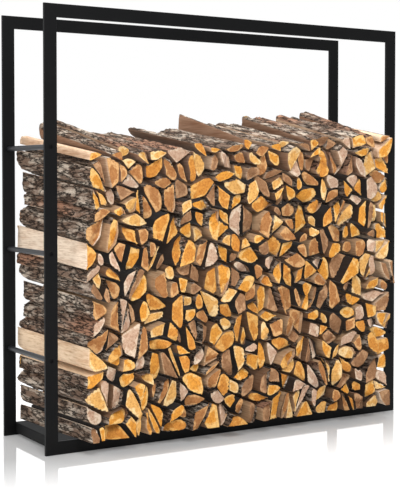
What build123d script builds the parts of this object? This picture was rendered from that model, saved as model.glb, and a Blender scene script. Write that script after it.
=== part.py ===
import math
import os
import random

from build123d import *

os.makedirs("parts", exist_ok=True)

# Rack: two upright rectangular frames of flat steel tube, one behind the other
rack_width = 1000
rack_depth = 250
rack_height = 1000
bar_width = 30
bar_depth = 8
bar_wall = 1.2
bar_edge_radius = 1

# Side rods: round steel bar from frame to frame, three on each side
rod_diameter = 12
rod_lowest = 210
rod_pitch = 237.5
rod_levels = ("lower", "middle", "upper")

# Base tray: one steel sheet between the bottom rails, folded down on all four sides
tray_sheet = 1.5
tray_drop = 24
tray_end_inset = 28.5
tray_clearance = 0.3
tray_fold_radius = 2.5

# Stack of firewood: rounds in staggered courses, thicker at the rear, higher at the right
stack_side_clearance = 2
stack_height_left = 650
stack_height_right = 705
stack_taper = 1.075
stack_side_scatter = 18
round_width = 71
course_height = 64
round_place_scatter = 0.17
course_stagger = 0.25
neighbour_count = 2

# Billets: what the rounds are split into. Areas are of the sawn ends, angles in degrees
split_area_smallest = 1250
split_area_largest = 2900
end_area_least = 150
heart_scatter = 6
split_lean = 35
wedges_in_a_round = (3, 3, 4)
wedge_scatter = 0.14
slimmest_upright = 0.62
split_across_share = 0.55
seat_gap = 0.3
billet_gap = 0.6
side_gap_widest = 4.5
steepest_seat = 0.3
shortest_edge = 3
flatness = 1e-6
knocked_corner_share = 0.48
knock_least = 0.15
knock_most = 0.42

# Sawn ends and the bark on the top course
front_overhang = 84
rear_overhang = 10
front_end_scatter = 30
rear_end_scatter = 12
saw_lean = 5
bark_crown = 14
bark_turn = 15
ridge_drop = 14
rear_lift = 34

# Seeds of the scatter: the hearts and the splitting have their own, and each round has one of both
heart_seed = 0
split_seed = 50000
course_seed_step = 1000

# The origin is on the floor, under the middle of rack and logs
front_face = (front_overhang - rear_overhang - rack_depth) / 2
rear_face = front_face + rack_depth
log_front = front_face - front_overhang
log_rear = rear_face + rear_overhang
log_floor = bar_width + seat_gap
stack_width = (rack_width - 2 * (bar_width + stack_side_clearance)) / stack_taper
columns = round(stack_width / round_width)
courses = round((stack_height_left + stack_height_right) / 2 / course_height + 0.5)

# A saw cut reaches this far before its middle, at the widest billet
saw_allowance = round_width / 2 * math.tan(math.radians(saw_lean))


def frame_bar(label, corner, along, inward, length):
    """One side of a frame: flat tube, mitred at both ends, with its outer edge starting at corner."""
    far_corner = corner + along * length
    with BuildPart() as bar:
        with BuildSketch(Plane(origin=corner, x_dir=inward, z_dir=along)):
            with Locations((bar_width / 2, 0)):
                RectangleRounded(bar_width, bar_depth, bar_edge_radius)
                Rectangle(bar_width - 2 * bar_wall, bar_depth - 2 * bar_wall, mode=Mode.SUBTRACT)
        extrude(amount=length)
        split(bisect_by=Plane(origin=corner, z_dir=along - inward), keep=Keep.TOP)
        split(bisect_by=Plane(origin=far_corner, z_dir=-along - inward), keep=Keep.TOP)
    bar.part.label = label
    export_step(bar.part, f"parts/{label}.step")


across, up = Vector(1, 0, 0), Vector(0, 0, 1)
for frame, frame_y in (("front", front_face + bar_depth / 2), ("rear", rear_face - bar_depth / 2)):
    left_foot = Vector(-rack_width / 2, frame_y, 0)
    right_foot = left_foot + across * rack_width
    left_head = left_foot + up * rack_height
    frame_bar(f"{frame}_left_post", left_foot, up, across, rack_height)
    frame_bar(f"{frame}_right_post", right_foot, up, -across, rack_height)
    frame_bar(f"{frame}_bottom_rail", left_foot, across, up, rack_width)
    frame_bar(f"{frame}_top_rail", left_head, across, -up, rack_width)

# Each rod butts on the inner faces of the two posts, on their centre line
rod_x = (rack_width - bar_width) / 2
for side, x in (("left", -rod_x), ("right", rod_x)):
    for step, level in enumerate(rod_levels):
        with BuildPart() as rod:
            with BuildSketch(Plane.XZ.offset(-front_face - bar_depth)):
                with Locations((x, rod_lowest + step * rod_pitch)):
                    Circle(rod_diameter / 2)
            extrude(amount=2 * bar_depth - rack_depth)
        rod.part.label = f"{side}_{level}_rod"
        export_step(rod.part, f"parts/{side}_{level}_rod.step")

# The tray's top is flush with the bottom rails, and it is open underneath
with BuildPart() as base_tray:
    with BuildSketch(Plane.XY.offset(bar_width)):
        with Locations((0, (front_face + rear_face) / 2)):
            Rectangle(
                rack_width - 2 * tray_end_inset,
                rack_depth - 2 * (bar_depth + tray_clearance),
            )
    extrude(amount=-tray_drop)
    fillet(base_tray.faces().sort_by(Axis.Z)[-1].edges(), tray_fold_radius)
    offset(amount=-tray_sheet, openings=base_tray.faces().sort_by(Axis.Z)[0])
base_tray.part.label = "base_tray"
export_step(base_tray.part, "parts/base_tray.step")


# The stack is drawn at the front ends of the logs first. An outline there is a convex ring of corners,
# each one an X and a height above the tray, and a cut keeps the part of it behind a straight line
def neighbours(outline):
    """Every corner of an outline with the corner before it and the one after it."""
    return zip(outline[-1:] + outline[:-1], outline, outline[1:] + outline[:1])


def area(outline):
    return sum(a[0] * b[1] - b[0] * a[1] for a, b, _ in neighbours(outline)) / 2


def middle(outline):
    return tuple(sum(corner[axis] for corner in outline) / len(outline) for axis in (0, 1))


def extent(outline, axis):
    places = [corner[axis] for corner in outline]
    return max(places) - min(places)


def trimmed(outline, point, facing):
    """The part of an outline behind the line through point. The line looks in the direction facing."""
    normal = (math.cos(facing), math.sin(facing))
    ahead = [(x - point[0]) * normal[0] + (z - point[1]) * normal[1] for x, z in outline]
    kept = []
    for i, (x, z) in enumerate(outline):
        j = (i + 1) % len(outline)
        if ahead[i] <= 0:
            kept.append((x, z))
        if ahead[i] * ahead[j] < 0:
            share = ahead[i] / (ahead[i] - ahead[j])
            kept.append((x + share * (outline[j][0] - x), z + share * (outline[j][1] - z)))
    return kept


def split_along(outline, point, facing, chance):
    """The part behind a line where two pieces of wood meet, less half the gap between them.
    Wood that rests on wood nearly touches it, and the gap between two flanks is wider."""
    gap = billet_gap
    if abs(math.sin(facing)) < steepest_seat:
        gap = chance.uniform(billet_gap, side_gap_widest)
    edge = (point[0] - gap / 2 * math.cos(facing), point[1] - gap / 2 * math.sin(facing))
    return trimmed(outline, edge, facing)


def stack_height(x):
    share = x / stack_width + 0.5
    return stack_height_left + share * (stack_height_right - stack_height_left)


def under_top_line(outline):
    """What an outline has below the sloping line that the top of the stack keeps to."""
    slope = math.atan2(stack_height_right - stack_height_left, stack_width)
    return trimmed(outline, (0, stack_height(0)), math.pi / 2 + slope)


# Rounds: each one has the room that is nearer to its heart than to any other heart. The hearts of the
# top course lie on the top line, so half of that course is cut away
def heart_of_round(course, column):
    chance = random.Random(heart_seed + course_seed_step * course + column)
    stagger = course_stagger if course % 2 else -course_stagger
    scatter = [chance.uniform(-round_place_scatter, round_place_scatter) for _ in "xz"]
    x = ((column + 0.5 + stagger + scatter[0]) / columns - 0.5) * stack_width
    return x, (course + 0.5 + scatter[1]) / (courses - 0.5) * stack_height(x)


def within_reach(place, count):
    return range(max(place - neighbour_count, 0), min(place + neighbour_count + 1, count))


def round_outline(course, column, chance):
    left = chance.uniform(0, stack_side_scatter) - stack_width / 2
    right = stack_width / 2 - chance.uniform(0, stack_side_scatter)
    above = stack_height(right) + neighbour_count * course_height
    outline = [(left, 0), (right, 0), (right, above), (left, above)]
    heart = heart_of_round(course, column)
    for other_course in within_reach(course, courses):
        for other_column in within_reach(column, columns):
            if (other_course, other_column) == (course, column):
                continue
            other = heart_of_round(other_course, other_column)
            facing = math.atan2(other[1] - heart[1], other[0] - heart[0])
            outline = split_along(outline, middle([heart, other]), facing, chance)
    return outline


# Billets: a round is split from its heart into wedges, or straight across and across again
def near(point, chance):
    return tuple(place + chance.uniform(-heart_scatter, heart_scatter) for place in point)


def split_from_heart(outline, chance):
    heart = near(middle(outline), chance)
    count = chance.choice(wedges_in_a_round)
    start = chance.uniform(0, 2 * math.pi)
    rays = [
        start + (k + chance.uniform(-wedge_scatter, wedge_scatter)) * 2 * math.pi / count
        for k in range(count)
    ]
    wedges = []
    for _, ray, next_ray in neighbours(rays):
        wedge = split_along(outline, heart, ray - math.pi / 2, chance)
        wedges.append(split_along(wedge, heart, next_ray + math.pi / 2, chance))
    return wedges


def split_across(outline, on_top, chance):
    seen = under_top_line(outline) if on_top else outline
    if len(seen) < 3 or area(seen) < chance.uniform(split_area_smallest, split_area_largest):
        return [outline]
    heart = near(middle(seen), chance)
    facing = math.radians(chance.uniform(-split_lean, split_lean))
    if not on_top and extent(seen, 0) < slimmest_upright * extent(seen, 1):
        facing += math.pi / 2
    billets = []
    for way in (facing, facing + math.pi):
        billets += split_across(split_along(outline, heart, way, chance), on_top, chance)
    return billets


def simplified(outline):
    """An outline without its short edges, which the axe and handling have taken off."""
    kept = list(outline)
    while len(kept) > 3:
        lengths = [math.dist(a, b) for _, a, b in neighbours(kept)]
        if min(lengths) > shortest_edge:
            break
        kept.pop(lengths.index(min(lengths)))
    return kept


def corner_cuts(ends, chance):
    """How far each corner is knocked off, along the edge before it and the edge after it. The cuts are
    the same at both ends, so that flanks stay flat, and fit the end with the shorter edge."""
    cuts = []
    for corners in zip(*[neighbours(end) for end in ends]):
        knocked = chance.random() < knocked_corner_share
        lengths = [min(math.dist(at[i], at[i + 1]) for at in corners) for i in (0, 1)]
        cuts.append([knocked * length * chance.uniform(knock_least, knock_most) for length in lengths])
    return cuts


def knocked_off(outline, cuts):
    points = []
    for (before, corner, after), distances in zip(neighbours(outline), cuts):
        if not any(distances):
            points.append(corner)
            continue
        for other, distance in zip((before, after), distances):
            share = distance / math.dist(corner, other)
            points.append(tuple(c + share * (o - c) for c, o in zip(corner, other)))
    return points


def at_rear(outline):
    """An outline carried to the rear of the stack, which is larger by the taper."""
    return [(x * stack_taper, z * stack_taper) for x, z in outline]


def alike(front, rear):
    """Whether two outlines have the same edges in the same directions, so that flanks between are flat."""
    if len(front) != len(rear):
        return False
    for (_, a, b), (_, rear_a, rear_b) in zip(neighbours(front), neighbours(rear)):
        edge = (b[0] - a[0], b[1] - a[1])
        rear_edge = (rear_b[0] - rear_a[0], rear_b[1] - rear_a[1])
        turn = edge[0] * rear_edge[1] - edge[1] * rear_edge[0]
        if abs(turn) > flatness * math.hypot(*edge) * math.hypot(*rear_edge):
            return False
    return True


def under_bark(outline, ridge, turn):
    """An outline cut down to two flat faces of bark that meet at the ridge."""
    for crown in (bark_crown, -bark_crown):
        outline = trimmed(outline, ridge, math.radians(90 + turn + crown))
    return outline


def sections(outline, on_top, chance):
    """A billet's outlines at the front and at the rear of the stack. A billet on top of the stack
    ends in bark, and rises to the rear where its flanks allow it."""
    front = simplified(outline)
    rear = at_rear(front)
    if on_top:
        x = middle(under_top_line(outline) or outline)[0]
        ridge = (x, stack_height(x) - chance.uniform(0, ridge_drop))
        rear_x, rear_z = at_rear([ridge])[0]
        turn = chance.uniform(-bark_turn, bark_turn)
        lift = chance.uniform(0, rear_lift)
        front = under_bark(front, ridge, turn)
        rear = under_bark(rear, (rear_x, rear_z + lift), turn)
        if not alike(front, rear):
            rear = at_rear(front)
    if len(front) < 3 or area(front) < end_area_least:
        return None
    cuts = corner_cuts((front, rear), chance)
    return [knocked_off(end, cuts) for end in (front, rear)]


def saw_plane(y, outline, chance):
    """The plane of a sawn end, a few degrees out of square."""
    x, z = middle(outline)
    leans = [math.tan(math.radians(chance.uniform(-saw_lean, saw_lean))) for _ in "xz"]
    return Plane(origin=(x, y, log_floor + z), z_dir=(leans[0], 1, leans[1]))


def make_billet(outlines, chance):
    """A billet: flat flanks between the two outlines of the stack, sawn off before either."""
    front, rear = outlines
    planes = (
        saw_plane(log_front + chance.uniform(saw_allowance, front_end_scatter), front, chance),
        saw_plane(log_rear - chance.uniform(saw_allowance, rear_end_scatter), rear, chance),
    )
    ends = []
    for plane in planes:
        corners = []
        for (x, z), (rear_x, rear_z) in zip(front, rear):
            start = Vector(x, log_front, log_floor + z)
            flank = Vector(rear_x, log_rear, log_floor + rear_z) - start
            share = (plane.origin - start).dot(plane.z_dir) / flank.dot(plane.z_dir)
            corners.append(start + flank * share)
        ends.append(corners)
    flanks = [(a, b, rear_b, rear_a) for (_, a, b), (_, rear_a, rear_b) in zip(*map(neighbours, ends))]
    with BuildPart() as billet:
        add(Solid(Shell([Face(Wire.make_polygon(corners)) for corners in ends + flanks])))
    return billet.part.solid()


for course in range(courses):
    on_top = course == courses - 1
    billets = []
    for column in range(columns):
        chance = random.Random(split_seed + course_seed_step * course + column)
        outline = round_outline(course, column, chance)
        if on_top or chance.random() < split_across_share:
            pieces = split_across(outline, on_top, chance)
        else:
            pieces = split_from_heart(outline, chance)
        for piece in pieces:
            outlines = sections(piece, on_top, chance)
            if outlines:
                billets.append(make_billet(outlines, chance))
    log_course = Compound(label=f"log_course_{course + 1}", children=billets)
    export_step(log_course, f"parts/log_course_{course + 1}.step")
    print(f"log_course_{course + 1}:", len(billets), "billets")
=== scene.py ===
import math

import bmesh
import bpy
import numpy as np
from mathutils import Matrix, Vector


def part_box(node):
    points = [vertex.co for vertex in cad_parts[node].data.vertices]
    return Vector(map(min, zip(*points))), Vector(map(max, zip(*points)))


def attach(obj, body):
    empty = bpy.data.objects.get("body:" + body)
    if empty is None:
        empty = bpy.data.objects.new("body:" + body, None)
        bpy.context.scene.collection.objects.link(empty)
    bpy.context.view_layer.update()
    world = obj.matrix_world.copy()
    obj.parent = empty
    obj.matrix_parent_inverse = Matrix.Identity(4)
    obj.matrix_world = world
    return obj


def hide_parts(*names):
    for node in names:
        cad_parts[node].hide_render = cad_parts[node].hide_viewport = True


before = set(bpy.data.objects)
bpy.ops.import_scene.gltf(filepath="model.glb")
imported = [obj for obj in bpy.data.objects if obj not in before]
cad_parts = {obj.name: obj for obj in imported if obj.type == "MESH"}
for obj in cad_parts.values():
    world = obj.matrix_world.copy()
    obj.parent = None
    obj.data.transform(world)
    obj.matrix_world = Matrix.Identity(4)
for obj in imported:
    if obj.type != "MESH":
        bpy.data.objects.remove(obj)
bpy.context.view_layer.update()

scene = bpy.context.scene
scene.view_settings.view_transform = "Standard"

# Viewpoint
# The camera of the photograph, found from the edges of both frames: it stands to the left, at a little
# over half the rack's height, and looks almost level.
camera_place = (-1.557, -2.483, 0.618)
camera_turn = math.radians(31.37)
camera_dip = math.radians(1.8)
photo_height = 495
focal_pixels = 1181.2
aside_pixels = -1.6
down_pixels = -33.3
film = 36
camera_data = bpy.data.cameras.new("camera")
camera_data.sensor_width = film
camera_data.lens = focal_pixels * film / photo_height
camera_data.shift_x = aside_pixels / photo_height
camera_data.shift_y = down_pixels / photo_height
camera = bpy.data.objects.new("camera", camera_data)
camera.location = camera_place
camera.rotation_euler = (math.pi / 2 - camera_dip, 0, -camera_turn)
scene.collection.objects.link(camera)
scene.camera = camera

# Floor and light
# A white studio floor with a faint gloss, an even white surround, and three soft lamps: one high in
# front, one overhead, and one on the left that picks out the sides of the black bars.
def add_node(tree, kind, place=(0, 0), **values):
    """A node with its settings and unlinked sockets by name, where a socket's spaces are written _."""
    made = tree.nodes.new(kind)
    made.location = place
    for name, value in values.items():
        if hasattr(made, name):
            setattr(made, name, value)
        else:
            made.inputs[name.replace("_", " ")].default_value = value
    return made


def colour(red, green, blue):
    """A colour given as the eye sees it, 0 to 255, in the linear values that shaders take."""
    shares = (value / 255 for value in (red, green, blue))
    return tuple(s / 12.92 if s <= 0.04045 else ((s + 0.055) / 1.055) ** 2.4 for s in shares) + (1,)


def new_material(name):
    material = bpy.data.materials.new(name)
    material.use_nodes = True
    tree = material.node_tree
    tree.nodes.clear()
    return material, tree, add_node(tree, "ShaderNodeOutputMaterial", (900, 0))


floor_size = 14
floor_drop = 0.0005
bpy.ops.mesh.primitive_plane_add(size=floor_size, location=(0, 0, -floor_drop))
floor = bpy.context.object
floor.name = "floor"
floor_paint, tree, out = new_material("studio_floor")
where = add_node(tree, "ShaderNodeTexCoord", (-900, 0))
parts = add_node(tree, "ShaderNodeSeparateXYZ", (-700, -200))
# The mirror image of the frame fades toward the camera, and the floor turns plain white further off
fade = add_node(tree, "ShaderNodeMapRange", (-450, -200), From_Min=-0.8, From_Max=-0.07, To_Max=0.6)
away = add_node(tree, "ShaderNodeVectorMath", (-700, 200), operation="LENGTH")
white_out = add_node(tree, "ShaderNodeMapRange", (-450, 200), From_Min=0.9, From_Max=1.9)
matt = add_node(tree, "ShaderNodeBsdfDiffuse", Color=(1, 1, 1, 1))
gloss = add_node(tree, "ShaderNodeBsdfGlossy", (0, -150), Color=(1, 1, 1, 1), Roughness=0.05)
paint = add_node(tree, "ShaderNodeMixShader", (450, 0))
glow = add_node(tree, "ShaderNodeEmission", (0, -300), Color=(1, 1, 1, 1), Strength=0.28)
plain = add_node(tree, "ShaderNodeEmission", (250, -300), Color=(1, 1, 1, 1), Strength=1)
lit = add_node(tree, "ShaderNodeAddShader", (250, 0))
further = add_node(tree, "ShaderNodeMixShader", (600, 0))
seen = add_node(tree, "ShaderNodeLightPath", (450, 300))
seen_paint = add_node(tree, "ShaderNodeMixShader", (750, 0))
tree.links.new(where.outputs["Object"], parts.inputs[0])
tree.links.new(where.outputs["Object"], away.inputs[0])
tree.links.new(parts.outputs["Y"], fade.inputs["Value"])
tree.links.new(away.outputs["Value"], white_out.inputs["Value"])
tree.links.new(matt.outputs[0], lit.inputs[0])
tree.links.new(glow.outputs[0], lit.inputs[1])
tree.links.new(fade.outputs[0], paint.inputs[0])
tree.links.new(lit.outputs[0], paint.inputs[1])
tree.links.new(gloss.outputs[0], paint.inputs[2])
tree.links.new(white_out.outputs[0], further.inputs[0])
tree.links.new(paint.outputs[0], further.inputs[1])
tree.links.new(plain.outputs[0], further.inputs[2])
tree.links.new(seen.outputs["Is Camera Ray"], seen_paint.inputs[0])
tree.links.new(matt.outputs[0], seen_paint.inputs[1])
tree.links.new(further.outputs[0], seen_paint.inputs[2])
tree.links.new(seen_paint.outputs[0], out.inputs["Surface"])
floor.data.materials.append(floor_paint)

surround = bpy.data.worlds.new("surround")
surround.use_nodes = True
scene.world = surround
tree = surround.node_tree
tree.nodes.clear()
shown = add_node(tree, "ShaderNodeBackground", (0, 0), Color=(1, 1, 1, 1), Strength=1)
fill = add_node(tree, "ShaderNodeBackground", (0, -150), Color=(1, 1, 1, 1), Strength=0.24)
seen = add_node(tree, "ShaderNodeLightPath", (-400, 300))
glossy = add_node(tree, "ShaderNodeMath", (-200, 200), operation="MAXIMUM")
either = add_node(tree, "ShaderNodeMath", (0, 200), operation="MAXIMUM")
choice = add_node(tree, "ShaderNodeMixShader", (250, 0))
out = add_node(tree, "ShaderNodeOutputWorld", (450, 0))
tree.links.new(seen.outputs["Is Glossy Ray"], glossy.inputs[0])
tree.links.new(seen.outputs["Is Transmission Ray"], glossy.inputs[1])
tree.links.new(seen.outputs["Is Camera Ray"], either.inputs[0])
tree.links.new(glossy.outputs[0], either.inputs[1])
tree.links.new(either.outputs[0], choice.inputs[0])
tree.links.new(fill.outputs[0], choice.inputs[1])
tree.links.new(shown.outputs[0], choice.inputs[2])
tree.links.new(choice.outputs[0], out.inputs["Surface"])


def soft_lamp(name, place, aim, size, power):
    lamp_data = bpy.data.lights.new(name, "AREA")
    lamp_data.shape = "RECTANGLE"
    lamp_data.size, lamp_data.size_y = size
    lamp_data.energy = power
    lamp = bpy.data.objects.new(name, lamp_data)
    lamp.location = place
    away = [p - a for p, a in zip(place, aim)]
    lamp.rotation_euler = (
        math.atan2(math.hypot(away[0], away[1]), away[2]),
        0,
        math.atan2(away[0], -away[1]),
    )
    scene.collection.objects.link(lamp)


stack_middle = (0, 0, 0.4)
soft_lamp("front_lamp", (-1.2, -3.2, 2.6), stack_middle, size=(2.0, 1.4), power=142)
soft_lamp("left_lamp", (-3.0, 0.4, 1.2), stack_middle, size=(1.4, 1.6), power=30)
soft_lamp("top_lamp", (0.3, 0.6, 3.0), stack_middle, size=(2.0, 1.4), power=95)


# Steel frames
# Eight lengths of flat steel tube, mitred and welded into two upright rectangles, ground flush at the
# corners and powder-coated matt black.
def new_group(name, inputs, outputs):
    group = bpy.data.node_groups.new(name, "ShaderNodeTree")
    for label, kind, value in inputs:
        socket = group.interface.new_socket(label, in_out="INPUT", socket_type=kind)
        if value is not None:
            socket.default_value = value
    for label, kind in outputs:
        group.interface.new_socket(label, in_out="OUTPUT", socket_type=kind)
    given = add_node(group, "NodeGroupInput", (-900, 0))
    result = add_node(group, "NodeGroupOutput", (700, 0))
    return group, given, result


coat_roughness_spread = 0.12
coat_group, given, result = new_group(
    "powder_coat",
    [
        ("Colour", "NodeSocketColor", (0.015, 0.015, 0.016, 1)),
        ("Dust Colour", "NodeSocketColor", (0.09, 0.085, 0.08, 1)),
        ("Dust", "NodeSocketFloat", 0.12),
        ("Roughness", "NodeSocketFloat", 0.5),
    ],
    [
        ("Colour", "NodeSocketColor"),
        ("Roughness", "NodeSocketFloat"),
        ("Height", "NodeSocketFloat"),
    ],
)
place = add_node(coat_group, "ShaderNodeTexCoord", (-900, 300))
peel = add_node(coat_group, "ShaderNodeTexNoise", (-600, 300), Scale=700, Detail=2)
cloud = add_node(coat_group, "ShaderNodeTexNoise", (-600, 50), Scale=9, Detail=5)
dusty = add_node(coat_group, "ShaderNodeMapRange", (-350, 50), From_Min=0.5, From_Max=0.75)
amount = add_node(coat_group, "ShaderNodeMath", (-150, 50), operation="MULTIPLY")
tint = add_node(coat_group, "ShaderNodeMix", (100, 150), data_type="RGBA")
rougher = add_node(coat_group, "ShaderNodeMath", (100, -150), operation="MULTIPLY_ADD")
rougher.inputs[1].default_value = coat_roughness_spread
coat_group.links.new(place.outputs["Object"], peel.inputs["Vector"])
coat_group.links.new(place.outputs["Object"], cloud.inputs["Vector"])
coat_group.links.new(cloud.outputs[0], dusty.inputs["Value"])
coat_group.links.new(dusty.outputs[0], amount.inputs[0])
coat_group.links.new(given.outputs["Dust"], amount.inputs[1])
coat_group.links.new(amount.outputs[0], tint.inputs[0])
coat_group.links.new(given.outputs["Colour"], tint.inputs[6])
coat_group.links.new(given.outputs["Dust Colour"], tint.inputs[7])
coat_group.links.new(cloud.outputs[0], rougher.inputs[0])
coat_group.links.new(given.outputs["Roughness"], rougher.inputs[2])
coat_group.links.new(tint.outputs[2], result.inputs["Colour"])
coat_group.links.new(rougher.outputs[0], result.inputs["Roughness"])
coat_group.links.new(peel.outputs[0], result.inputs["Height"])


def coated_steel(name, tone, dust, roughness, shine):
    material, tree, out = new_material(name)
    coat = add_node(tree, "ShaderNodeGroup", (0, 0), node_tree=coat_group)
    coat.inputs["Colour"].default_value = tone
    coat.inputs["Dust"].default_value = dust
    coat.inputs["Roughness"].default_value = roughness
    bump = add_node(tree, "ShaderNodeBump", (250, -250), Strength=0.25, Distance=0.0002)
    surface = add_node(tree, "ShaderNodeBsdfPrincipled", (500, 0), Specular_IOR_Level=shine)
    tree.links.new(coat.outputs["Colour"], surface.inputs["Base Color"])
    tree.links.new(coat.outputs["Roughness"], surface.inputs["Roughness"])
    tree.links.new(coat.outputs["Height"], bump.inputs["Height"])
    tree.links.new(bump.outputs[0], surface.inputs["Normal"])
    tree.links.new(surface.outputs[0], out.inputs["Surface"])
    return material


def dress(node, material):
    """Gives a carried-over steel part its finish."""
    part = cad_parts[node]
    part.data.materials.clear()
    part.data.materials.append(material)


frame_black = (0.0014, 0.0015, 0.0018, 1)
frame_finish = coated_steel("frame_powder_coat", frame_black, dust=0.02, roughness=0.42, shine=0.11)
for side in ("front", "rear"):
    for bar in ("left_post", "right_post", "top_rail", "bottom_rail"):
        dress(f"{side}_{bar}", frame_finish)

# Side rods
# Three round steel bars on each side, from front post to rear post, tapped at both ends for a screw and
# coated like the frames, a little glossier.
rod_black = (0.008, 0.009, 0.011, 1)
rod_finish = coated_steel("rod_powder_coat", rod_black, dust=0.05, roughness=0.34, shine=0.35)
rod_nodes = [
    f"{side}_{level}_rod" for side in ("left", "right") for level in ("lower", "middle", "upper")
]
for rod in rod_nodes:
    dress(rod, rod_finish)

# Base tray
# One sheet of steel, folded down on all four sides and coated like the frames. It lies between the two
# bottom rails, and the wood lies on it.
tray_black = (0.0045, 0.0047, 0.005, 1)
tray_finish = coated_steel("tray_powder_coat", tray_black, dust=0.08, roughness=0.55, shine=0.08)
dress("base_tray", tray_finish)

# Post screws
# Twelve low-headed socket screws of blackened steel, turned through the posts into the ends of the
# rods, with the heads left standing on the posts.
screw_black = (0.0025, 0.0025, 0.003, 1)
head_radius = 0.0042
head_height = 0.0022
socket_radius = 0.0022
socket_depth = 0.0016
head_points = 24
head_profile = (
    (head_radius, 0),
    (head_radius, 0.45 * head_height),
    (0.82 * head_radius, 0.9 * head_height),
    (0.6 * head_radius, head_height),
    (socket_radius, head_height),
    (socket_radius, head_height - socket_depth),
)
screw_mesh = bmesh.new()
for rod in rod_nodes:
    low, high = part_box(rod)
    axis_x, axis_z = (low.x + high.x) / 2, (low.z + high.z) / 2
    for post, way in (("front_left_post", -1), ("rear_left_post", 1)):
        face_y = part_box(post)[0].y if way < 0 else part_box(post)[1].y
        rings = []
        for radius, height in head_profile:
            ring = []
            for step in range(head_points):
                angle = step * 2 * math.pi / head_points
                reach = radius
                if radius == socket_radius:
                    # The socket has six flat sides
                    sixth = (angle % (math.pi / 3)) - math.pi / 6
                    reach = radius / math.cos(sixth) * math.cos(math.pi / 6)
                x = axis_x + reach * math.cos(angle)
                z = axis_z + reach * math.sin(angle)
                ring.append(screw_mesh.verts.new((x, face_y + way * height, z)))
            rings.append(ring)
        for inner, outer in zip(rings[1:], rings):
            for step in range(head_points):
                after = (step + 1) % head_points
                screw_mesh.faces.new((outer[step], outer[after], inner[after], inner[step]))
        screw_mesh.faces.new(rings[-1])
        screw_mesh.faces.new(rings[0])
bmesh.ops.recalc_face_normals(screw_mesh, faces=screw_mesh.faces)
screw_data = bpy.data.meshes.new("post_screws")
screw_mesh.to_mesh(screw_data)
screw_mesh.free()
screws = bpy.data.objects.new("post_screws", screw_data)
scene.collection.objects.link(screws)
screw_data.materials.append(
    coated_steel("blackened_screw", screw_black, dust=0.0, roughness=0.5, shine=0.06)
)
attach(screws, "root")

# Split firewood
# Small hardwood billets, split by hand and sawn at the ends, some with grey-brown bark left on their
# round side. They are stacked loosely on the tray, each where its solid is, worn a little smaller.
grain_group, given, result = new_group(
    "wood_fibre",
    [
        ("Seed", "NodeSocketFloat", 0.0),
        ("Across", "NodeSocketFloat", 300.0),
        ("Along", "NodeSocketFloat", 14.0),
        ("Detail", "NodeSocketFloat", 4.0),
    ],
    [("Mask", "NodeSocketFloat"), ("Broad", "NodeSocketFloat")],
)
place = add_node(grain_group, "ShaderNodeTexCoord", (-900, 300))
parts = add_node(grain_group, "ShaderNodeSeparateXYZ", (-700, 300))
across_x = add_node(grain_group, "ShaderNodeMath", (-500, 400), operation="MULTIPLY")
along_y = add_node(grain_group, "ShaderNodeMath", (-500, 250), operation="MULTIPLY")
across_z = add_node(grain_group, "ShaderNodeMath", (-500, 100), operation="MULTIPLY")
joined = add_node(grain_group, "ShaderNodeCombineXYZ", (-300, 300))
fine = add_node(
    grain_group, "ShaderNodeTexNoise", (-50, 300), noise_dimensions="4D", Scale=1, Roughness=0.6
)
broad = add_node(
    grain_group, "ShaderNodeTexNoise", (-50, 0), noise_dimensions="4D", Scale=0.16, Detail=2
)
grain_group.links.new(place.outputs["Object"], parts.inputs[0])
stretched = ((across_x, "X", "Across"), (along_y, "Y", "Along"), (across_z, "Z", "Across"))
for piece, axis, rate in stretched:
    grain_group.links.new(parts.outputs[axis], piece.inputs[0])
    grain_group.links.new(given.outputs[rate], piece.inputs[1])
    grain_group.links.new(piece.outputs[0], joined.inputs[axis])
for noise in (fine, broad):
    grain_group.links.new(joined.outputs[0], noise.inputs["Vector"])
    grain_group.links.new(given.outputs["Seed"], noise.inputs["W"])
grain_group.links.new(given.outputs["Detail"], fine.inputs["Detail"])
grain_group.links.new(fine.outputs[0], result.inputs["Mask"])
grain_group.links.new(broad.outputs[0], result.inputs["Broad"])


def attribute(tree, name, place):
    return add_node(tree, "ShaderNodeAttribute", place, attribute_name=name)


def blend_colours(tree, place, share, first, second, mode="MIX"):
    """Mixes two colours, each a socket or fixed values, by a share that is a socket or a number."""
    mix = add_node(tree, "ShaderNodeMix", place, data_type="RGBA", blend_type=mode)
    for value, socket in ((share, mix.inputs[0]), (first, mix.inputs[6]), (second, mix.inputs[7])):
        if isinstance(value, bpy.types.NodeSocket):
            tree.links.new(value, socket)
        else:
            socket.default_value = value
    return mix.outputs[2]


def ramp(tree, place, source, low, high):
    """A socket stretched so that low becomes 0 and high becomes 1."""
    stretch = add_node(tree, "ShaderNodeMapRange", place, From_Min=low, From_Max=high)
    tree.links.new(source, stretch.inputs["Value"])
    return stretch.outputs[0]


def fibres(tree, place, across, along, detail):
    """The wood's grain, with its rates per metre across and along the billet."""
    grain = add_node(tree, "ShaderNodeGroup", place, node_tree=grain_group)
    grain.inputs["Across"].default_value = across
    grain.inputs["Along"].default_value = along
    grain.inputs["Detail"].default_value = detail
    seed = attribute(tree, "billet_seed", (place[0] - 250, place[1]))
    tree.links.new(seed.outputs["Fac"], grain.inputs["Seed"])
    return grain


def finish_wood(tree, out, tint, height, depth, roughness, shine):
    bump = add_node(tree, "ShaderNodeBump", (400, -300), Strength=0.8, Distance=depth)
    surface = add_node(tree, "ShaderNodeBsdfPrincipled", (650, 0), Roughness=roughness)
    surface.inputs["Specular IOR Level"].default_value = shine
    tree.links.new(tint, surface.inputs["Base Color"])
    tree.links.new(height, bump.inputs["Height"])
    tree.links.new(bump.outputs[0], surface.inputs["Normal"])
    tree.links.new(surface.outputs[0], out.inputs["Surface"])


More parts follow.
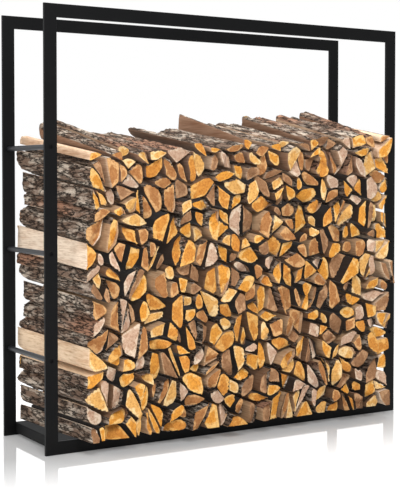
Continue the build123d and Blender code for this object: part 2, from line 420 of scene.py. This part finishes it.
# Sawn ends: faint growth rings 2.4 mm apart, a darker heart, stains, painted shade darkening the
# outermost rim, and bark on a part of it. Blotches bend the rings and the edge of the heart.
ring_waver = 0.006
ring_rate = 2600
heart_waver = 3.4
end_grain, tree, out = new_material("sawn_end_grain")
tone = attribute(tree, "billet_tone", (-1500, 300))
inner = attribute(tree, "heart_tone", (-1500, 600))
heart = attribute(tree, "from_heart", (-1500, 0))
rim = attribute(tree, "bark_rim", (-1500, -300))
speckle = fibres(tree, (-1100, -500), across=900.0, along=900.0, detail=3.0)
blotch = fibres(tree, (-1100, 500), across=42.0, along=42.0, detail=2.0)
bend = add_node(tree, "ShaderNodeMath", (-900, 150), operation="MULTIPLY_ADD")
bend.inputs[1].default_value = ring_waver
radius = add_node(tree, "ShaderNodeVectorMath", (-1200, 0), operation="LENGTH")
rings = add_node(tree, "ShaderNodeMath", (-700, 150), operation="MULTIPLY")
rings.inputs[1].default_value = ring_rate
wave = add_node(tree, "ShaderNodeMath", (-550, 150), operation="SINE")
tree.links.new(heart.outputs["Vector"], radius.inputs[0])
tree.links.new(blotch.outputs["Mask"], bend.inputs[0])
tree.links.new(radius.outputs["Value"], bend.inputs[2])
tree.links.new(bend.outputs[0], rings.inputs[0])
tree.links.new(rings.outputs[0], wave.inputs[0])
ring_mask = ramp(tree, (-400, 150), wave.outputs[0], low=-1.0, high=1.0)
to_rim = attribute(tree, "toward_rim", (-1500, 900))
uneven = add_node(tree, "ShaderNodeMath", (-900, 700), operation="MULTIPLY_ADD")
uneven.inputs[1].default_value = heart_waver
tree.links.new(blotch.outputs["Mask"], uneven.inputs[0])
tree.links.new(to_rim.outputs["Fac"], uneven.inputs[2])
heart_mask = ramp(tree, (-700, 500), uneven.outputs[0], low=2.62, high=2.36)
# Painted shade along the outline: the outermost rim of each end is darkened
rim_shade_mask = ramp(tree, (-700, 1100), to_rim.outputs["Fac"], low=0.945, high=1.0)
wood = blend_colours(tree, (-450, 800), heart_mask, tone.outputs["Color"], inner.outputs["Color"])
ringed = blend_colours(tree, (-250, 800), 1.0, wood, (0.84, 0.78, 0.70, 1), "MULTIPLY")
wood = blend_colours(tree, (-100, 700), ring_mask, wood, ringed)
rough_mask = ramp(tree, (-700, -500), speckle.outputs["Mask"], low=0.56, high=0.72)
dark_pores = blend_colours(tree, (50, 500), 1.0, wood, (0.50, 0.40, 0.32, 1), "MULTIPLY")
wood = blend_colours(tree, (200, 500), rough_mask, wood, dark_pores)
stain = fibres(tree, (-1100, -1100), across=190.0, along=190.0, detail=5.0)
stain_mask = ramp(tree, (-700, -1100), stain.outputs["Mask"], low=0.44, high=0.70)
stained = blend_colours(tree, (200, 700), 1.0, wood, (0.66, 0.52, 0.42, 1), "MULTIPLY")
wood = blend_colours(tree, (300, 600), stain_mask, wood, stained)
rim_mask = ramp(tree, (-700, -800), rim.outputs["Fac"], low=0.35, high=0.75)
wood = blend_colours(tree, (350, 400), rim_mask, wood, colour(92, 72, 58))
# The darker colour of the painted shade at the rim
rim_shaded = blend_colours(tree, (350, 700), 1.0, wood, (0.42, 0.33, 0.27, 1), "MULTIPLY")
wood = blend_colours(tree, (450, 500), rim_shade_mask, wood, rim_shaded)
finish_wood(tree, out, wood, speckle.outputs["Mask"], depth=0.0008, roughness=0.75, shine=0.2)

# Cleft flanks: long fibres and darker streaks, pale on the outside of the stack, and inside it mostly
# darkened by painted shade
cleft, tree, out = new_material("cleft_flank")
tone = attribute(tree, "flank_tone", (-1500, 300))
streaks = fibres(tree, (-1100, 200), across=420.0, along=14.0, detail=5.0)
wide = fibres(tree, (-1100, -200), across=70.0, along=6.0, detail=2.0)
streak_mask = ramp(tree, (-700, 200), streaks.outputs["Mask"], low=0.46, high=0.72)
streak_tint = (0.62, 0.52, 0.43, 1)
streaked = blend_colours(tree, (-450, 300), 1.0, tone.outputs["Color"], streak_tint, "MULTIPLY")
wood = blend_colours(tree, (-250, 400), streak_mask, tone.outputs["Color"], streaked)
wide_mask = ramp(tree, (-700, -200), wide.outputs["Mask"], low=0.5, high=0.75)
weathered = blend_colours(tree, (-100, 200), 1.0, wood, (0.72, 0.60, 0.52, 1), "MULTIPLY")
wood = blend_colours(tree, (50, 300), wide_mask, wood, weathered)
finish_wood(tree, out, wood, streaks.outputs["Mask"], depth=0.0012, roughness=0.8, shine=0.15)

# Bark: grey-brown plates between fissures painted near-black as shade, with paler weathered patches and
# some red inner bark
mask_middle = 0.5
bark, tree, out = new_material("rough_bark")
fissures = fibres(tree, (-1100, 200), across=95.0, along=20.0, detail=6.0)
crumbs = fibres(tree, (-1100, 500), across=420.0, along=200.0, detail=3.0)
patches = fibres(tree, (-1100, -200), across=60.0, along=16.0, detail=3.0)
off_middle = add_node(tree, "ShaderNodeMath", (-850, 300), operation="SUBTRACT")
off_middle.inputs[1].default_value = mask_middle
either_side = add_node(tree, "ShaderNodeMath", (-700, 300), operation="ABSOLUTE")
tree.links.new(fissures.outputs["Mask"], off_middle.inputs[0])
tree.links.new(off_middle.outputs[0], either_side.inputs[0])
plate_mask = ramp(tree, (-500, 300), either_side.outputs[0], low=0.004, high=0.055)
crumb_mask = ramp(tree, (-500, 500), crumbs.outputs["Mask"], low=0.50, high=0.72)
patch_mask = ramp(tree, (-700, -200), patches.outputs["Mask"], low=0.46, high=0.62)
red_mask = ramp(tree, (-700, -450), patches.outputs["Broad"], low=0.56, high=0.66)
plates = blend_colours(tree, (-450, 0), patch_mask, colour(116, 96, 82), colour(190, 176, 160))
plates = blend_colours(tree, (-300, -200), red_mask, plates, colour(152, 114, 92))
crumbled = blend_colours(tree, (-200, 0), 1.0, plates, (0.45, 0.40, 0.36, 1), "MULTIPLY")
plates = blend_colours(tree, (-100, -100), crumb_mask, plates, crumbled)
# The near-black in the fissures is painted shade in the bark's furrows
skin = blend_colours(tree, (50, 200), plate_mask, colour(30, 23, 19), plates)
finish_wood(tree, out, skin, plate_mask, depth=0.004, roughness=0.9, shine=0.1)

# The tones of the ends: the outer wood, the heart, and how often they come
end_tones = (
    (colour(240, 198, 126), colour(222, 156, 64), 2.2),
    (colour(234, 182, 104), colour(210, 144, 64), 1.6),
    (colour(243, 214, 160), colour(228, 178, 104), 1.8),
    (colour(214, 170, 118), colour(176, 124, 76), 2.0),
    (colour(222, 204, 184), colour(200, 170, 148), 1.3),
    (colour(188, 150, 114), colour(154, 116, 84), 1.3),
)
# The tones of cleft flanks, on the outside of the stack, on its top and in it; the darkest ones in it
# are painted shade between the billets
outer_flanks = (colour(232, 212, 190), colour(222, 196, 166), colour(206, 176, 148))
top_flanks = (colour(146, 114, 92), colour(120, 96, 80), colour(184, 156, 130))
inner_flanks_with_painted_shade = (colour(46, 35, 28), colour(118, 90, 68), colour(190, 156, 122), colour(26, 21, 18))
# How much darker or paler than its tones a billet is
darkest_shade, palest_shade = 0.84, 1.08
# The finishes of a billet, by slot
wood_finishes = (end_grain, cleft, bark)
end_slot, cleft_slot, bark_slot = range(3)
# A billet's mesh: the step round its outline, the rows along it and the rings on its ends
outline_step = 0.0034
smoothing_passes = 2
inner_rows = np.array([0, 0.008, 0.03, 0.08, 0.25, 0.6, 0.92, 0.985, 1])
outer_rows = 38
cap_rings = (0.93, 0.76, 0.5, 0.22)
# How far a billet counts as standing at the side of the stack, or behind a rod
side_band = 0.024
rod_band = 0.03
# How far bark reaches to either side of a billet's round side, in radians
narrow_bark, wide_bark, top_bark = 0.7, 1.25, 1.15
# Relief of bark, of cleft wood and of a bent billet, and how much smaller than its solid a billet is
bark_depth = 0.0034
cleft_depth = 0.0008
bow_depth = 0.0012
least_shrink, widest_shrink = 0.0004, 0.0036
# No more than this share of a billet's thickness is cut away
deepest_share = 0.15
# How steeply bark falls into its furrows, and how it fades where the outline's ends meet
furrow_steepness = 2.2
seam_fade = 0.2
# Waves across and along a billet: their lengths in metres across and along, and how many cross
furrow_waves = ((0.012, 0.03), (0.05, 0.16), 5)
cleft_waves = ((0.006, 0.02), (0.25, 0.9), 6)
bow_waves = ((0.06, 0.12), (0.15, 0.4), 3)
chip_waves = ((0.008, 0.03), (1, 2), 3)
wave_starts = (0, 7)
# Where growth rings have their middle, in shares of a billet's thickness
heart_reach, heart_wander = 0.55, 0.5
# The slanting cut that some ends have: how often, how steep, where it starts and how deep it goes
slanted_share = 0.55
slant_degrees = (20, 50)
slant_starts = (-0.25, 0.35)
slant_depth, flattest_slant = 0.014, 0.3
# Wear at the rim of an end, and the marks of the saw
rim_wear, rim_chips = 0.0004, 0.0008
saw_mark = 0.0005
saw_rates = (420, 380)
# How far apart the seeds of two courses are, and the largest seed of a billet's grain
course_seeds_apart = 1000
largest_grain_seed = 60
# Keeps a division from failing where an outline has no direction
tiny = 1e-9


def solids_of(node):
    """The corner points of each solid in a node."""
    mesh = bmesh.new()
    mesh.from_mesh(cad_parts[node].data)
    bmesh.ops.remove_doubles(mesh, verts=mesh.verts, dist=1e-5)
    unseen, found = set(mesh.verts), []
    while unseen:
        reached, front = set(), [unseen.pop()]
        while front:
            vertex = front.pop()
            reached.add(vertex)
            for edge in vertex.link_edges:
                other = edge.other_vert(vertex)
                if other in unseen:
                    unseen.remove(other)
                    front.append(other)
        found.append(np.array([vertex.co[:] for vertex in reached]))
    mesh.free()
    return sorted(found, key=lambda points: tuple(points.mean(0).round(5)))


def in_order(corners):
    """Corners of a convex end, in order round its middle."""
    offset = corners - corners.mean(0)
    return corners[np.argsort(np.arctan2(offset[:, 2], offset[:, 0]))]


def two_ends(points):
    """Front and rear outlines of a billet, corner for corner."""
    halfway = (points[:, 1].min() + points[:, 1].max()) / 2
    front, rear = (in_order(points[pick]) for pick in (points[:, 1] < halfway, points[:, 1] > halfway))
    shape = front - front.mean(0)
    best = min(
        range(len(rear)),
        key=lambda k: np.abs(np.roll(rear - rear.mean(0), -k, 0) - shape)[:, [0, 2]].sum(),
    )
    return front, np.roll(rear, -best, 0)


def waves(across, along, widths, lengths, count, chance):
    """A surface of crossing waves, from -1 to 1, with wave lengths in metres both ways."""
    total = np.zeros(np.broadcast(across, along).shape)
    for _ in range(count):
        wide = chance.uniform(*widths) * chance.choice((-1, 1))
        turns = across / wide + along / chance.uniform(*lengths)
        total += np.sin(2 * np.pi * turns + chance.uniform(*wave_starts))
    return total / count


def slanting_cut(offset, facing, slant, start):
    """How deep the slanting cut goes at an offset from the middle of an end."""
    return slant * np.clip(offset @ facing - start, 0, slant_depth / max(slant, flattest_slant))


def billet_mesh(points, facing_out, at_rod, chance):
    """One billet: vertices, faces, each face's material and each vertex's attributes."""
    front, rear = two_ends(points)
    corners = len(front)
    edges = np.roll(front, -1, 0) - front
    lengths = np.hypot(edges[:, 0], edges[:, 2])
    normals = np.arctan2(-edges[:, 0], edges[:, 2])

    # Bark is left on the flanks that look away from the heart of the round
    toward_bark = {"left": math.pi, "right": 0.0, "top": math.pi / 2}.get(facing_out)
    spread = 0 if at_rod else wide_bark
    if toward_bark is None:
        toward_bark = chance.uniform(-math.pi, math.pi)
        spread = chance.uniform(narrow_bark, wide_bark)
    if facing_out == "top":
        spread = top_bark
    off = np.abs((normals - toward_bark + math.pi) % (2 * math.pi) - math.pi)
    barked = off < spread

    # Points along the outline, with its corners worn round
    counts = np.maximum(1, np.round(lengths / outline_step).astype(int))
    which = np.repeat(np.arange(corners), counts)
    share = np.concatenate([np.arange(c) / c for c in counts])[:, None]
    after = (which + 1) % corners
    rim_front = front[which] + share * (front[after] - front[which])
    rim_rear = rear[which] + share * (rear[after] - rear[which])
    on_bark = barked[which].astype(float)
    for _ in range(smoothing_passes):
        for line in (rim_front, rim_rear, on_bark):
            line[:] = (np.roll(line, 1, 0) + 2 * line + np.roll(line, -1, 0)) / 4
    around = len(which)
    strides = np.hypot(*np.diff(rim_front[:, [0, 2]], axis=0).T)
    travelled = np.concatenate([[0], np.cumsum(strides)])
    perimeter = travelled[-1] + outline_step

    # Rows of points from the front end to the rear end
    rows = np.linspace(0, 1, outer_rows) if facing_out else inner_rows
    length = rear[:, 1].mean() - front[:, 1].mean()
    grid = rim_front[None] + rows[:, None, None] * (rim_rear - rim_front)[None]
    u = travelled[None]
    v = rows[:, None] * length
    ends_meet = 0.5 - 0.5 * np.cos(2 * np.pi * u / perimeter)
    furrows = 1 - np.abs(waves(u, v, *furrow_waves, chance)) * furrow_steepness
    plates = np.clip(furrows, 0, 1) * ends_meet ** seam_fade
    clefts = 0.5 + 0.5 * waves(u, v, *cleft_waves, chance)
    bow = 0.5 + 0.5 * waves(u, v, *bow_waves, chance)
    sunk = on_bark * bark_depth * plates + (1 - on_bark) * cleft_depth * clefts + bow_depth * bow
    sunk += chance.uniform(least_shrink, widest_shrink)
    x, z = front[:, 0], front[:, 2]
    thick = math.sqrt(abs(np.sum(x * np.roll(z, -1) - np.roll(x, -1) * z)) / 2)
    sunk = np.minimum(sunk, deepest_share * thick)
    centre = grid.mean(1, keepdims=True)
    inward = centre - grid
    inward[..., 1] = 0
    tangent = np.roll(grid, -1, 1) - np.roll(grid, 1, 1)
    normal = np.stack([-tangent[..., 2], np.zeros_like(u + v), tangent[..., 0]], -1)
    normal *= np.sign((normal * inward).sum(-1, keepdims=True))
    normal /= np.maximum(np.linalg.norm(normal, axis=-1, keepdims=True), tiny)
    grid = grid + normal * sunk[..., None]

    # Ends: sawn nearly flat, some with a second slanting cut, and worn at the rim
    vertices = [grid.reshape(-1, 3)]
    kinds = []
    quads, triangles = [], []
    total = vertices[0].shape[0]
    step = np.arange(around)
    onward = (step + 1) % around
    for row in range(len(rows) - 1):
        a, b = row * around, (row + 1) * around
        quads.append(np.stack([a + step, b + step, b + onward, a + onward], 1))
        kinds.append(np.where(on_bark > 0.5, bark_slot, cleft_slot))
    heart_way = 1 if spread else chance.uniform(-heart_wander, heart_wander)
    from_bark = np.array([-math.cos(toward_bark), 0, -math.sin(toward_bark)])
    heart_side = centre[0, 0] + heart_reach * thick * from_bark * heart_way
    rims, shares = [np.zeros(total)], [np.ones(total)]
    for row, way in ((0, 1), (len(rows) - 1, -1)):
        rim = vertices[0][row * around : (row + 1) * around]
        middle = rim.mean(0)
        slant_facing = chance.uniform(-math.pi, math.pi)
        slant = 0
        if chance.random() < slanted_share:
            slant = math.tan(math.radians(chance.uniform(*slant_degrees)))
        slant_start = chance.uniform(*slant_starts) * thick
        facing = np.array([math.cos(slant_facing), 0, math.sin(slant_facing)])
        previous = row * around + step
        rims[0][previous] = on_bark
        sunk_rim = way * (
            slanting_cut(rim - middle, facing, slant, slant_start)
            + rim_wear
            + rim_chips * np.abs(waves(travelled, 0, *chip_waves, chance))
        )
        start_x, start_z, *_ = chance.uniform(*wave_starts, 4)
        for share in cap_rings:
            ring = middle + share * (rim - middle)
            height = slanting_cut(ring - middle, facing, slant, slant_start)
            marks_x = np.sin(ring[:, 0] * saw_rates[0] + start_x)
            marks_z = np.sin(ring[:, 2] * saw_rates[1] + start_z)
            height += saw_mark * (1 + marks_x * marks_z)
            ring[:, 1] += way * height
            vertices.append(ring)
            rims.append(np.zeros(around))
            shares.append(np.full(around, share))
            latest = total + step
            total += around
            strip = [previous, latest, latest[onward], previous[onward]]
            if way > 0:
                strip = [latest, previous, previous[onward], latest[onward]]
            quads.append(np.stack(strip, 1))
            kinds.append(np.full(around, end_slot))
            previous = latest
        cut_here = slanting_cut(np.zeros(3), facing, slant, slant_start)
        middle = middle + np.array([0, way * (cut_here + saw_mark), 0])
        vertices.append(middle[None])
        rims.append(np.zeros(1))
        shares.append(np.zeros(1))
        fan = [previous, previous[onward], np.full(around, total)]
        triangles.append(np.stack(fan if way > 0 else fan[::-1], 1))
        total += 1
        vertices[0][row * around : (row + 1) * around, 1] += sunk_rim
    vertices = np.concatenate(vertices)
    return {
        "vertices": vertices,
        "quads": np.concatenate(quads),
        "triangles": np.concatenate(triangles),
        "kinds": np.concatenate(kinds + [np.full(len(t), end_slot) for t in triangles]),
        "bark_rim": np.concatenate(rims),
        "toward_rim": np.concatenate(shares),
        "from_heart": vertices - heart_side,
    }


tone_odds = np.array([odds for *_, odds in end_tones])
course_nodes = sorted(
    (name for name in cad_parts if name.startswith("log_course_")),
    key=lambda name: int(name.rsplit("_", 1)[1]),
)
top_courses = course_nodes[-2:]
all_fronts = np.concatenate(
    [points[points[:, 1] < 0] for node in course_nodes for points in solids_of(node)]
)
left_edge, right_edge = all_fronts[:, 0].min(), all_fronts[:, 0].max()
rod_heights = np.array([(low.z + high.z) / 2 for low, high in map(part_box, rod_nodes)])
for number, node in enumerate(course_nodes):
    vertices, faces, kinds = [], [], []
    fields = {name: [] for name in ("bark_rim", "toward_rim", "billet_seed", "from_heart")}
    tones = {name: [] for name in ("billet_tone", "heart_tone", "flank_tone")}
    start = 0
    for index, points in enumerate(solids_of(node)):
        chance = np.random.default_rng(course_seeds_apart * number + index)
        fronts = points[points[:, 1] < 0]
        facing_out = ""
        if fronts[:, 0].min() < left_edge + side_band:
            facing_out = "left"
        elif fronts[:, 0].max() > right_edge - side_band:
            facing_out = "right"
        elif node in top_courses:
            facing_out = "top"
        at_rod = np.abs(rod_heights - fronts[:, 2].mean()).min() < rod_band
        billet = billet_mesh(points, facing_out, at_rod, chance)
        count = len(billet["vertices"])
        vertices.append(billet["vertices"])
        faces += (billet["quads"] + start).tolist() + (billet["triangles"] + start).tolist()
        kinds.append(billet["kinds"])
        billet["billet_seed"] = np.full(count, chance.uniform(0, largest_grain_seed))
        for name, values in fields.items():
            values.append(billet[name])
        outer, inner, _ = end_tones[chance.choice(len(end_tones), p=tone_odds / tone_odds.sum())]
        # Billets inside the stack take flank tones that are mostly darkened with painted shade
        flanks = {"": inner_flanks_with_painted_shade, "top": top_flanks}.get(facing_out, outer_flanks)
        flank = flanks[chance.choice(len(flanks))]
        shade = np.array([*[chance.uniform(darkest_shade, palest_shade)] * 3, 1])
        for name, tone in zip(tones, (outer, inner, flank)):
            tones[name].append(np.tile(tone * shade, (count, 1)))
        start += count
    data = bpy.data.meshes.new(node.replace("log_course", "firewood_course"))
    data.from_pydata(np.concatenate(vertices).tolist(), [], faces)
    for material in wood_finishes:
        data.materials.append(material)
    data.polygons.foreach_set("material_index", np.concatenate(kinds).astype(np.int32))
    data.polygons.foreach_set("use_smooth", np.ones(len(faces), bool))
    for name, values in (*fields.items(), *tones.items()):
        values = np.concatenate(values).astype(np.float32)
        kind, field = ("FLOAT", "value")
        if name in tones:
            kind, field = ("FLOAT_COLOR", "color")
        elif values.ndim > 1:
            kind, field = ("FLOAT_VECTOR", "vector")
        data.attributes.new(name, kind, "POINT").data.foreach_set(field, values.ravel())
    data.update()
    course = bpy.data.objects.new(data.name, data)
    # The wood isn't mirrored, neither in the floor nor in the steel
    course.visible_glossy = False
    scene.collection.objects.link(course)
    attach(course, "root")
    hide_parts(node)
